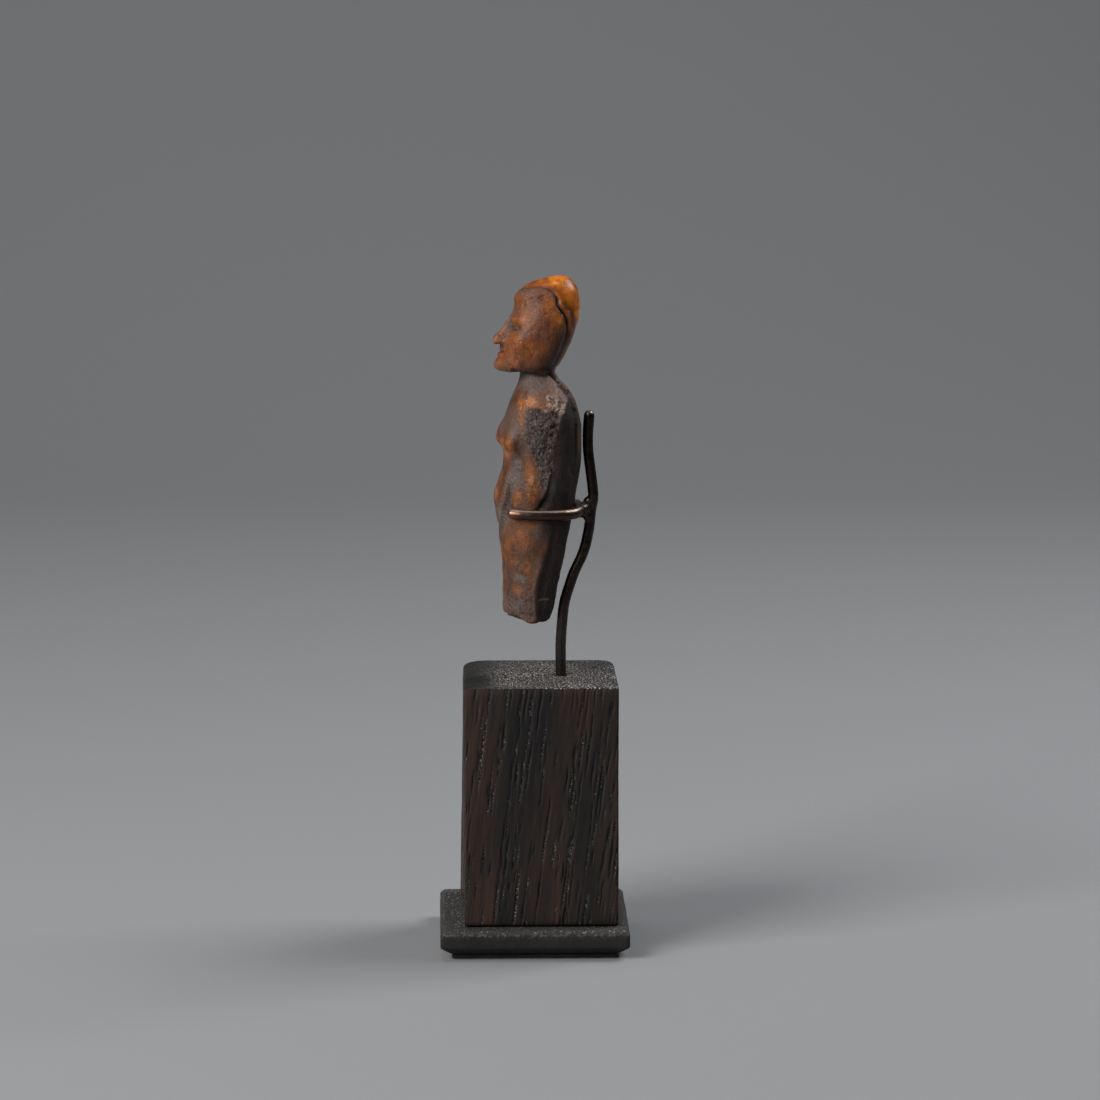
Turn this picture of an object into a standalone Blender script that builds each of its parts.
"""A small carved ivory figure of a woman, held by a bent wire over a wooden block on a bevelled plate.

Metres, +Z up. The origin is the middle of the plate's footprint, on the surface that it stands on.
The figure looks towards -Y, turned a little towards +X.
"""

import math
from collections import namedtuple

import bmesh
import bpy
from mathutils import Vector

# Sizes of the stand, in metres.
TOUCH_GAP = 0.0001
PAD_THICKNESS = 0.0008
PLATE_WIDTH = 0.0317
PLATE_BAND_HEIGHT = 0.0023
PLATE_TOP_BEVEL = 0.0007
PLATE_FOOT_BEVEL_IN = 0.0017
PLATE_FOOT_BEVEL_UP = 0.0012
PLATE_CORNER_BEVEL = 0.0006
BLOCK_WIDTH = 0.0257
BLOCK_HEIGHT = 0.0404
BLOCK_OFFSET_Y = 0.0011
BLOCK_EDGE_ROUND = 0.0006
BLOCK_WORN_EDGE_ROUND = 0.0015
BLOCK_FOOT_FLARE = 0.0006
WIRE_DIAMETER = 0.0018
SOCKET_DEPTH = 0.010
SOCKET_CLEARANCE = 0.0001
STEM_FOOT_BACK = 0.0035
STEM_CREST_RISE = 0.0020
STEM_CREST_SWELL = 0.0003
STEM_REST_RISE = 0.0105
STEM_TOP_RISE = 0.0155
STEM_STAND_OFF = 0.0002
STEM_TOP_LEAN = 0.0002
# Heights over the block and how far the stem has bent back there, as shares of its whole bend.
STEM_BEND = ((0.0055, 0.0), (0.0090, 0.04), (0.0123, 0.12), (0.0148, 0.26), (0.0173, 0.43), (0.0207, 0.73), (0.0241, 0.90))

# Sizes of the figure. Its carving is in hundredths of its own height.
FIGURE_HEIGHT = 0.0584
FIGURE_TURN = math.radians(12)
FIGURE_CLEARANCE = 0.0084
CLIP_HEIGHT = 34.2
CLIP_DIP = 0.0006
CLIP_LEFT_REACH = math.radians(41)
CLIP_RIGHT_REACH = math.radians(62)

# How finely the curved pieces are divided.
FIGURE_COLUMNS = 48
BODY_ROWS = 46
HEAD_ROWS = 34
WIRE_BEVEL_RESOLUTION = 3
WIRE_POINT_SPACING = 0.0012
TIP_POINTS = 4

# Heights of what stands on what.
PLATE_BOTTOM = PAD_THICKNESS + TOUCH_GAP
PLATE_TOP = PLATE_BOTTOM + PLATE_FOOT_BEVEL_UP + PLATE_BAND_HEIGHT + PLATE_TOP_BEVEL
BLOCK_BOTTOM = PLATE_TOP + TOUCH_GAP
BLOCK_TOP = BLOCK_BOTTOM + BLOCK_HEIGHT
FIGURE_BOTTOM = BLOCK_TOP + FIGURE_CLEARANCE
WIRE_RADIUS = WIRE_DIAMETER / 2

# A level slice of the figure: how high it is, and how far its front, its widest line and its back
# lie behind the figure's axis, with half its width. Hundredths of the figure's height.
Section = namedtuple("Section", "height front side back half_width")

BODY = (
    Section(0.0, -10.4, -1.6, 2.5, 6.6),  # broken ends of the legs
    Section(4.0, -10.8, -1.0, 3.5, 7.2),
    Section(12.0, -10.9, -0.2, 4.9, 8.2),  # thighs
    Section(20.0, -11.1, 1.2, 6.6, 9.0),
    Section(27.0, -11.9, 2.2, 7.9, 9.7),  # crotch
    Section(33.0, -12.3, 2.8, 9.2, 9.9),  # hips
    Section(39.0, -12.0, 3.0, 10.2, 9.8),  # belly
    Section(45.0, -10.8, 3.2, 11.3, 9.6),  # waist
    Section(50.0, -10.5, 3.0, 11.5, 10.1),
    Section(56.0, -10.3, 2.4, 11.3, 11.2),  # chest
    Section(61.0, -9.6, 1.8, 10.4, 11.9),  # shoulders
    Section(65.5, -7.9, 1.2, 9.3, 10.9),
    Section(69.0, -6.5, 0.4, 7.5, 8.2),
    Section(71.5, -5.8, -0.6, 4.9, 6.2),  # neck
    Section(74.0, -5.8, -0.8, 4.2, 5.8),
    Section(77.0, -5.8, -0.8, 4.2, 5.8),
)
HEAD = (
    Section(73.3, -11.4, -2.4, 3.2, 5.8),  # underside of the jaw
    Section(73.9, -12.3, -2.6, 4.3, 7.0),
    Section(75.5, -12.4, -2.2, 5.7, 8.2),  # chin
    Section(79.5, -11.4, -0.8, 8.1, 9.2),
    Section(84.0, -10.1, 0.4, 10.2, 9.7),
    Section(88.0, -8.9, 1.4, 11.5, 9.7),  # brow
    Section(92.0, -7.7, 2.2, 11.6, 9.0),
    Section(95.0, -6.9, 2.6, 10.8, 7.9),  # edge of the hair
    Section(97.0, -6.1, 2.8, 9.3, 6.3),
    Section(98.2, -4.6, 2.8, 7.4, 4.2),
    Section(98.9, -0.6, 2.6, 4.6, 1.2),  # crown
)
FRONT_FULLNESS = 2.2
BACK_FULLNESS = 2.5
FRONT_CROWDING = 0.35
CROWN_LEAN = 0.24
CROWN_LEAN_FROM = 76.0
CROWN_LEAN_TO = 96.0


def smooth_step(value, low, high):
    """0 below low, 1 above high, and an even rise between them."""
    t = min(max((value - low) / (high - low), 0.0), 1.0)
    return t * t * (3 - 2 * t)


def bell(offset, reach):
    """A rounded bump, 1 in its middle and 0 from reach outwards."""
    t = min(abs(offset) / reach, 1.0)
    return (1 - t * t) ** 2


def curve_through(knots, x):
    """The height at x of a smooth curve through knots, which are (x, height) pairs."""
    x = min(max(x, knots[0][0]), knots[-1][0])
    i = next(n for n in range(1, len(knots)) if x <= knots[n][0])

    def slope(n):
        before, after = knots[max(n - 1, 0)], knots[min(n + 1, len(knots) - 1)]
        return (after[1] - before[1]) / (after[0] - before[0])

    (x0, y0), (x1, y1) = knots[i - 1], knots[i]
    width = x1 - x0
    t = (x - x0) / width
    rise = (y1 - y0) * (3 - 2 * t) * t * t
    start = slope(i - 1) * width * t * (1 - t) ** 2
    end = slope(i) * width * t * t * (t - 1)
    return y0 + rise + start + end


def section_at(sections, height):
    """The slice at a height, smoothly between the named ones."""
    values = [
        curve_through([(s.height, getattr(s, field)) for s in sections], height)
        for field in Section._fields[1:]
    ]
    return Section(height, *values)


def rim_point(section, angle):
    """(point, outward direction) of a slice's rim. The angle runs from the front towards +X."""
    sine, cosine = math.sin(angle), math.cos(angle)
    reach = section.side - section.front if cosine > 0 else section.back - section.side
    fullness = FRONT_FULLNESS if cosine > 0 else BACK_FULLNESS
    across = math.copysign(abs(sine) ** (2 / fullness), sine)
    forward = math.copysign(abs(cosine) ** (2 / fullness), cosine)
    point = Vector((section.half_width * across, section.side - reach * forward, 0))
    outward = Vector((across / section.half_width, -forward / reach, 0))
    return point, outward.normalized()


# The carving of the body. Each form gives how far it stands out of the slice, in hundredths.
BREAST_ANGLE = math.radians(26)
BREAST_HEIGHTS = {1: 52.8, -1: 53.8}
BREAST_REACH = 4.6
BREAST_STAND = 2.6
BELLY_HEIGHT = 38.5
BELLY_REACH = 9.0
BELLY_STAND = 1.1
BELLY_EDGE = ((27.0, 0.0), (31.0, 18.0), (35.5, 29.0), (40.0, 33.0), (46.0, 30.0), (49.0, 28.0))
GROOVE_REACH = 1.7
GROOVE_DEPTH = 0.8
LEG_GROOVE_TOP = 27.0
LEG_GROOVE_DEPTH = 1.1
SPINE_DEPTH = 0.5
ARM_ANGLE = math.radians(88)
ARM_REACH = math.radians(36)
ARM_BOTTOM = 35.0
ARM_TOP = 63.0
ARM_STAND = 0.9
SCAR_HEIGHT = 53.5
SCAR_REACH = 10.5
SCAR_DEPTH = 0.8
BREAK_FRONT_RISE = 3.0
BREAK_BACK_RISE = 1.4
BREAK_LEFT_RISE = 1.3


def round_rim(section, angle):
    """How far along the rim an angle lies from the front, in hundredths."""
    mean_radius = (section.half_width + (section.back - section.front) / 2) / 2
    return angle * mean_radius


def breasts(section, angle):
    side = 1 if angle > 0 else -1
    across = round_rim(section, abs(angle) - BREAST_ANGLE)
    up = section.height - BREAST_HEIGHTS[side]
    up *= 0.62 if up > 0 else 1.25
    return BREAST_STAND * bell(math.hypot(across, up), BREAST_REACH)


def belly(section, angle):
    """A drop-shaped abdomen inside the two grooves that meet at the crotch."""
    if not BELLY_EDGE[0][0] <= section.height <= BELLY_EDGE[-1][0]:
        return 0.0
    edge = math.radians(curve_through(BELLY_EDGE, section.height))
    inside = round_rim(section, edge - abs(angle))
    stand = BELLY_STAND * bell(section.height - BELLY_HEIGHT, BELLY_REACH)
    fade = smooth_step(section.height, BELLY_EDGE[-1][0], BELLY_EDGE[-2][0] - 1)
    return stand * smooth_step(inside, 0, GROOVE_REACH) - GROOVE_DEPTH * fade * bell(inside, GROOVE_REACH)


def legs(section, angle):
    """The shallow line between the two legs, in front and behind."""
    fade = smooth_step(section.height, LEG_GROOVE_TOP, LEG_GROOVE_TOP - 4)
    front = bell(round_rim(section, angle), GROOVE_REACH)
    back = bell(round_rim(section, math.pi - abs(angle)), GROOVE_REACH)
    return -LEG_GROOVE_DEPTH * fade * (front + back)


def spine(section, angle):
    along = smooth_step(section.height, 36, 44) * smooth_step(section.height, 67, 60)
    return -SPINE_DEPTH * along * bell(round_rim(section, math.pi - abs(angle)), 2 * GROOVE_REACH)


def arms(section, angle):
    """What is left of each arm: a low pad down the side, with a scar where the upper arm broke off."""
    across = bell(abs(angle) - ARM_ANGLE, ARM_REACH)
    along = smooth_step(section.height, ARM_BOTTOM, ARM_BOTTOM + 6)
    along *= smooth_step(section.height, ARM_TOP, ARM_TOP - 5)
    scar = SCAR_DEPTH * bell(section.height - SCAR_HEIGHT, SCAR_REACH)
    scar *= bell(abs(angle) - ARM_ANGLE, ARM_REACH * 0.7)
    return ARM_STAND * along * math.sqrt(across) - scar


def body_relief(section, angle):
    return sum(form(section, angle) for form in (breasts, belly, legs, spine, arms))


# The carving of the head: a calm, plain face on even thirds from hairline to chin.
HAIRLINE = 94.6
CHIN = 74.6
FACE_THIRD = (HAIRLINE - CHIN) / 3
BROW = CHIN + 2 * FACE_THIRD
NOSE_BASE = CHIN + FACE_THIRD
MOUTH = NOSE_BASE - FACE_THIRD / 3
NOSE_STAND = 2.7
NOSE_HALF_WIDTH = 2.0
EYE_ANGLE = math.radians(24)
EYE_DEPTH = 1.0
HAIR_STAND = 0.7
HAIR_EDGE = ((0.0, 94.6), (50.0, 95.0), (75.0, 93.8), (98.0, 90.5), (112.0, 85.0), (118.0, 78.0), (119.0, 72.0))


def nose(section, angle):
    """A wedge that grows from between the brows to its tip, cut off below."""
    up = section.height - NOSE_BASE
    along = smooth_step(up, -0.5, 1.2) * smooth_step(up, FACE_THIRD + 1.5, 0.6)
    half_width = NOSE_HALF_WIDTH * (1.25 - 0.5 * min(max(up / FACE_THIRD, 0), 1))
    return NOSE_STAND * along * bell(round_rim(section, angle), half_width)


def eyes(section, angle):
    """A shallow socket under each brow, with the lid as a low swelling in it."""
    across = round_rim(section, abs(angle) - EYE_ANGLE)
    up = section.height - (BROW - 1.6)
    socket = bell(math.hypot(across * 0.62, up), 2.7)
    lid = bell(math.hypot(across * 0.7, up + 0.3), 1.3)
    return EYE_DEPTH * (0.45 * lid - socket)


def brows(section, angle):
    across = bell(abs(angle), math.radians(58))
    return 0.5 * across * bell(section.height - (BROW + 1.0), 1.6)


def mouth(section, angle):
    """Two low lips with a line between them."""
    across = bell(round_rim(section, angle), 3.6)
    up = section.height - MOUTH
    return across * (0.75 * bell(up, 2.0) - 0.75 * bell(up, 0.8))


def chin(section, angle):
    across = round_rim(section, angle)
    return 0.9 * bell(math.hypot(across * 0.8, section.height - (CHIN + 0.8)), 3.0)


def cheeks(section, angle):
    across = round_rim(section, abs(angle) - math.radians(46))
    return 0.6 * bell(math.hypot(across, section.height - (NOSE_BASE + 1.6)), 4.2)


def hair(section, angle):
    """The hair stands over the forehead and lies a little behind the smooth side of the head."""
    turn = math.degrees(abs(angle))
    if turn < HAIR_EDGE[-1][0]:
        above = section.height - curve_through(HAIR_EDGE, turn)
    else:
        above = 4.0
    stand = HAIR_STAND * (1.0 - 1.9 * smooth_step(turn, 35, 75))
    crown_fade = smooth_step(section.height, 98.4, 96.0)
    return crown_fade * (stand * smooth_step(above, -0.4, 0.8) - 0.45 * bell(above, 1.4) * smooth_step(turn, 30, 60))


def head_relief(section, angle):
    return sum(form(section, angle) for form in (nose, eyes, brows, mouth, chin, cheeks, hair))


def body_height(row):
    """Heights of the body's rings, from the break to inside the head."""
    return BODY[0].height + (BODY[-1].height - BODY[0].height) * row / BODY_ROWS


def head_height(row):
    """Heights of the head's rings, closer together towards the jaw and the crown."""
    t = row / HEAD_ROWS
    eased = t - 0.09 * math.sin(2 * math.pi * t)
    return HEAD[0].height + (HEAD[-1].height - HEAD[0].height) * eased


def break_rise(point):
    """The broken end is higher at its front than in its middle, and turns up behind and to the left."""
    front = smooth_step(-point.y, 2.0, 10.0)
    back = smooth_step(point.y, 0.0, 3.0)
    left = smooth_step(point.x, 1.0, 7.0)
    return BREAK_FRONT_RISE * front + BREAK_BACK_RISE * back + BREAK_LEFT_RISE * left


def body_lift(section, point):
    """Raises the lowest rings to the broken edge."""
    return break_rise(point) * smooth_step(section.height, 6.0, 0.0)


def head_lift(section, point):
    """Tips the upper rings of the head, so that the crown rises towards the back."""
    return CROWN_LEAN * smooth_step(section.height, CROWN_LEAN_FROM, CROWN_LEAN_TO) * point.y


def column_angle(column):
    """Angles of the columns, closer together at the front."""
    even = 2 * math.pi * column / FIGURE_COLUMNS - math.pi
    return even - FRONT_CROWDING * math.sin(even)


def carved_point(section, angle, relief, lift):
    point, outward = rim_point(section, angle)
    point += outward * relief(section, angle)
    point.z = section.height + lift(section, point)
    return point * (FIGURE_HEIGHT / 100)


def carved_loft(name, sections, heights, relief, lift):
    """A closed skin over the rings at these heights, as a mesh object."""
    bm = bmesh.new()
    rings = []
    for height in heights:
        section = section_at(sections, height)
        rings.append(
            [bm.verts.new(carved_point(section, column_angle(c), relief, lift)) for c in range(FIGURE_COLUMNS)]
        )
    for lower, upper in zip(rings, rings[1:]):
        for c in range(FIGURE_COLUMNS):
            after = (c + 1) % FIGURE_COLUMNS
            bm.faces.new((lower[c], lower[after], upper[after], upper[c]))
    for ring in (rings[0], rings[-1]):
        centre = bm.verts.new(sum((v.co for v in ring), Vector()) / FIGURE_COLUMNS)
        for c in range(FIGURE_COLUMNS):
            bm.faces.new((ring[c], ring[(c + 1) % FIGURE_COLUMNS], centre))
    bmesh.ops.recalc_face_normals(bm, faces=bm.faces)
    return mesh_object(name, bm)


def clear_scene():
    for obj in list(bpy.data.objects):
        bpy.data.objects.remove(obj, do_unlink=True)


def mesh_object(name, bm):
    mesh = bpy.data.meshes.new(name)
    bm.to_mesh(mesh)
    bm.free()
    return bpy.data.objects.new(name, mesh)


def shade_smooth(obj, angle):
    obj.data.shade_smooth()
    obj.data.set_sharp_from_angle(angle=math.radians(angle))


def finish(name, colour, roughness, metallic=0.0):
    material = bpy.data.materials.new(name)
    material.use_nodes = True
    shader = material.node_tree.nodes["Principled BSDF"]
    shader.inputs["Base Color"].default_value = (*colour, 1)
    shader.inputs["Roughness"].default_value = roughness
    shader.inputs["Metallic"].default_value = metallic
    return material


def as_cutter(obj, helpers):
    helpers.objects.link(obj)
    obj.hide_render = True
    obj.display_type = "WIRE"
    return obj


def add_boolean(obj, operation, other):
    modifier = obj.modifiers.new(other.name, "BOOLEAN")
    modifier.operation = operation
    modifier.object = other
    modifier.solver = "EXACT"


def box(name, width, depth, height, bottom, centre_y=0.0):
    """A box standing at a height, as (mesh in the making, name)."""
    bm = bmesh.new()
    bmesh.ops.create_cube(bm, size=1)
    bmesh.ops.scale(bm, vec=(width, depth, height), verts=bm.verts)
    bmesh.ops.translate(bm, vec=(0, centre_y, bottom + height / 2), verts=bm.verts)
    return bm


def upright_edges(bm):
    return [e for e in bm.edges if abs(e.verts[0].co.z - e.verts[1].co.z) > 1e-6]


def make_pad():
    """The thin felt under the plate, as wide as the plate's flat foot."""
    width = PLATE_WIDTH - 2 * PLATE_FOOT_BEVEL_IN
    bm = box("pad", width, width, PAD_THICKNESS, 0.0)
    bmesh.ops.bevel(bm, geom=upright_edges(bm), offset=PLATE_CORNER_BEVEL, segments=2, profile=0.5, affect="EDGES")
    return mesh_object("felt_pad", bm)


def rounded_square(half_width, height):
    """Points round a square with small rounded corners."""
    points = []
    reach = half_width - PLATE_CORNER_BEVEL
    for corner in range(4):
        middle = math.pi / 4 + corner * math.pi / 2
        x = math.copysign(reach, math.cos(middle))
        y = math.copysign(reach, math.sin(middle))
        for turn in (-math.pi / 4, 0, math.pi / 4):
            angle = middle + turn
            points.append(
                (x + PLATE_CORNER_BEVEL * math.cos(angle), y + PLATE_CORNER_BEVEL * math.sin(angle), height)
            )
    return points


def make_plate():
    """A square plate with a narrow bevel round its top and a wider one under its edge."""
    half = PLATE_WIDTH / 2
    levels = (
        (half - PLATE_FOOT_BEVEL_IN, PLATE_BOTTOM),
        (half, PLATE_BOTTOM + PLATE_FOOT_BEVEL_UP),
        (half, PLATE_TOP - PLATE_TOP_BEVEL),
        (half - PLATE_TOP_BEVEL, PLATE_TOP),
    )
    bm = bmesh.new()
    rings = [[bm.verts.new(p) for p in rounded_square(width, height)] for width, height in levels]
    for lower, upper in zip(rings, rings[1:]):
        for n in range(len(lower)):
            after = (n + 1) % len(lower)
            bm.faces.new((lower[n], lower[after], upper[after], upper[n]))
    bm.faces.new(rings[0])
    bm.faces.new(rings[-1])
    bmesh.ops.recalc_face_normals(bm, faces=bm.faces)
    return mesh_object("base_plate", bm)


def make_block():
    """A hand-finished wooden block: one top edge is worn round, and one corner spreads at its foot."""
    bm = box("block", BLOCK_WIDTH, BLOCK_WIDTH, BLOCK_HEIGHT, BLOCK_BOTTOM, BLOCK_OFFSET_Y)
    middle_z = BLOCK_BOTTOM + BLOCK_HEIGHT / 2
    weights = bm.edges.layers.float.new("bevel_weight_edge")
    for edge in bm.edges:
        middle = (edge.verts[0].co + edge.verts[1].co) / 2
        worn = middle.z > middle_z and middle.y < BLOCK_OFFSET_Y - BLOCK_WIDTH / 4
        edge[weights] = 1.0 if worn else BLOCK_EDGE_ROUND / BLOCK_WORN_EDGE_ROUND
    for vert in bm.verts:
        if vert.co.x < 0 and vert.co.y < BLOCK_OFFSET_Y and vert.co.z < middle_z:
            vert.co.y -= BLOCK_FOOT_FLARE
    block = mesh_object("wooden_block", bm)
    bevel = block.modifiers.new("rounded edges", "BEVEL")
    bevel.limit_method = "WEIGHT"
    bevel.width = BLOCK_WORN_EDGE_ROUND
    bevel.segments = 4
    return block


def make_socket(stem_x, helpers):
    """The drilled hole in the block that takes the foot of the stem."""
    bm = bmesh.new()
    radius = WIRE_RADIUS + SOCKET_CLEARANCE
    length = 2 * SOCKET_DEPTH
    bmesh.ops.create_cone(bm, cap_ends=True, segments=24, radius1=radius, radius2=radius, depth=length)
    bmesh.ops.translate(bm, vec=(stem_x, STEM_FOOT_BACK + BLOCK_OFFSET_Y, BLOCK_TOP), verts=bm.verts)
    return as_cutter(mesh_object("stem_socket", bm), helpers)


def make_figure(helpers):
    """Body and head, each a skin over level slices, joined into one carving."""
    body_rows = [body_height(row) for row in range(BODY_ROWS + 1)]
    head_rows = [head_height(row) for row in range(HEAD_ROWS + 1)]
    body = carved_loft("figure", BODY, body_rows, body_relief, body_lift)
    head = as_cutter(carved_loft("head", HEAD, head_rows, head_relief, head_lift), helpers)
    add_boolean(body, "UNION", head)
    for obj in (body, head):
        shade_smooth(obj, 50)
        obj.location = (0, BLOCK_OFFSET_Y, FIGURE_BOTTOM)
        obj.rotation_euler.z = FIGURE_TURN
    return body


def from_figure(point):
    """A point of the figure, in hundredths of its height, placed in the model."""
    turned = Vector(point) * (FIGURE_HEIGHT / 100)
    turned.rotate(bpy.data.objects["figure"].matrix_basis.to_quaternion())
    return turned + Vector((0, BLOCK_OFFSET_Y, FIGURE_BOTTOM))


def clip_route():
    """Points of the clip, a wire's radius off the body at one height, from its left tip to its right one."""
    section = section_at(BODY, CLIP_HEIGHT)
    stand_off = (WIRE_RADIUS + TOUCH_GAP) * 100 / FIGURE_HEIGHT
    left, right = CLIP_LEFT_REACH, 2 * math.pi - CLIP_RIGHT_REACH
    length = round_rim(section, right - left) * FIGURE_HEIGHT / 100
    count = round(length / WIRE_POINT_SPACING)
    route = []
    for n in range(count + 1):
        angle = left + (right - left) * n / count
        point, outward = rim_point(section, angle)
        bulge = max(body_relief(section, angle if angle < math.pi else angle - 2 * math.pi), 0)
        point += outward * (stand_off + bulge)
        point.z = section.height
        placed = from_figure(point)
        placed.z -= CLIP_DIP * abs(math.sin(angle))
        route.append(placed)
    return route


def figure_back(z):
    """How far back the figure reaches at a height of the model."""
    section = section_at(BODY, (z - FIGURE_BOTTOM) * 100 / FIGURE_HEIGHT)
    reaches = []
    for n in range(-12, 13):
        angle = math.pi + math.radians(5 * n)
        point, outward = rim_point(section, angle)
        reaches.append(from_figure(point).y)
    return max(reaches)


def stem_route(clip_back):
    """Points of the stem: straight out of the block, back under the clip, round it, and onto the figure's back."""
    clip_y = clip_back.y + WIRE_DIAMETER + TOUCH_GAP
    foot_y = BLOCK_OFFSET_Y + STEM_FOOT_BACK
    rest_z = clip_back.z + STEM_REST_RISE
    top_z = clip_back.z + STEM_TOP_RISE
    off_back = WIRE_RADIUS + STEM_STAND_OFF
    knots = [(BLOCK_TOP - SOCKET_DEPTH + TOUCH_GAP, foot_y), (BLOCK_TOP, foot_y)]
    knots += [(BLOCK_TOP + rise, foot_y + share * (clip_y - foot_y)) for rise, share in STEM_BEND]
    knots += [
        (clip_back.z, clip_y),
        (clip_back.z + STEM_CREST_RISE, clip_y + STEM_CREST_SWELL),
        (rest_z, figure_back(rest_z) + off_back),
        (top_z, figure_back(rest_z) + off_back + STEM_TOP_LEAN),
    ]
    low, high = knots[0][0], knots[-1][0]
    count = round((high - low) / WIRE_POINT_SPACING)
    heights = [low + (high - low) * n / count for n in range(count + 1)]
    return [Vector((clip_back.x, curve_through(knots, z), z)) for z in heights]


def wire(name, route, round_start, round_end):
    """A round wire along a route, with domed tips where they are asked for."""
    radii = [1.0] * len(route)
    for wanted, tip, inner in ((round_start, 0, 1), (round_end, -1, -2)):
        if not wanted:
            continue
        outward = (route[tip] - route[inner]).normalized()
        base = route[tip].copy()
        dome = [math.pi / 2 * n / TIP_POINTS for n in range(1, TIP_POINTS)]
        points = [base + outward * WIRE_RADIUS * math.sin(a) for a in dome]
        sizes = [math.cos(a) for a in dome]
        if tip == 0:
            route, radii = points[::-1] + route, sizes[::-1] + radii
        else:
            route, radii = route + points, radii + sizes
    curve = bpy.data.curves.new(name, "CURVE")
    curve.dimensions = "3D"
    curve.bevel_depth = WIRE_RADIUS
    curve.bevel_resolution = WIRE_BEVEL_RESOLUTION
    curve.use_fill_caps = True
    spline = curve.splines.new("POLY")
    spline.points.add(len(route) - 1)
    for spline_point, place, size in zip(spline.points, route, radii):
        spline_point.co = (*place, 1)
        spline_point.radius = size
    return bpy.data.objects.new(name, curve)


def main():
    clear_scene()
    scene_root = bpy.context.scene.collection
    parts = bpy.data.collections.new("ivory figure on a stand")
    helpers = bpy.data.collections.new("cutters")
    scene_root.children.link(parts)
    scene_root.children.link(helpers)

    figure = make_figure(helpers)
    parts.objects.link(figure)
    clip_points = clip_route()
    clip_back = max(clip_points, key=lambda p: p.y)
    stem_points = stem_route(clip_back)

    ivory = finish("old ivory", (0.16, 0.062, 0.026), 0.42)
    bronze = finish("dark bronze wire", (0.045, 0.030, 0.024), 0.38, 0.85)
    wood = finish("dark open-grained wood", (0.030, 0.019, 0.014), 0.62)
    black = finish("blackened plate", (0.028, 0.029, 0.028), 0.70)
    felt = finish("black felt", (0.010, 0.010, 0.011), 0.95)

    clip = wire("waist_clip", clip_points, True, True)
    stem = wire("stem_wire", stem_points, False, True)
    block = make_block()
    add_boolean(block, "DIFFERENCE", make_socket(clip_back.x, helpers))
    finishes = {figure: ivory, clip: bronze, stem: bronze, block: wood, make_plate(): black, make_pad(): felt}
    for obj, material in finishes.items():
        if obj is not figure:
            parts.objects.link(obj)
        obj.data.materials.append(material)


main()
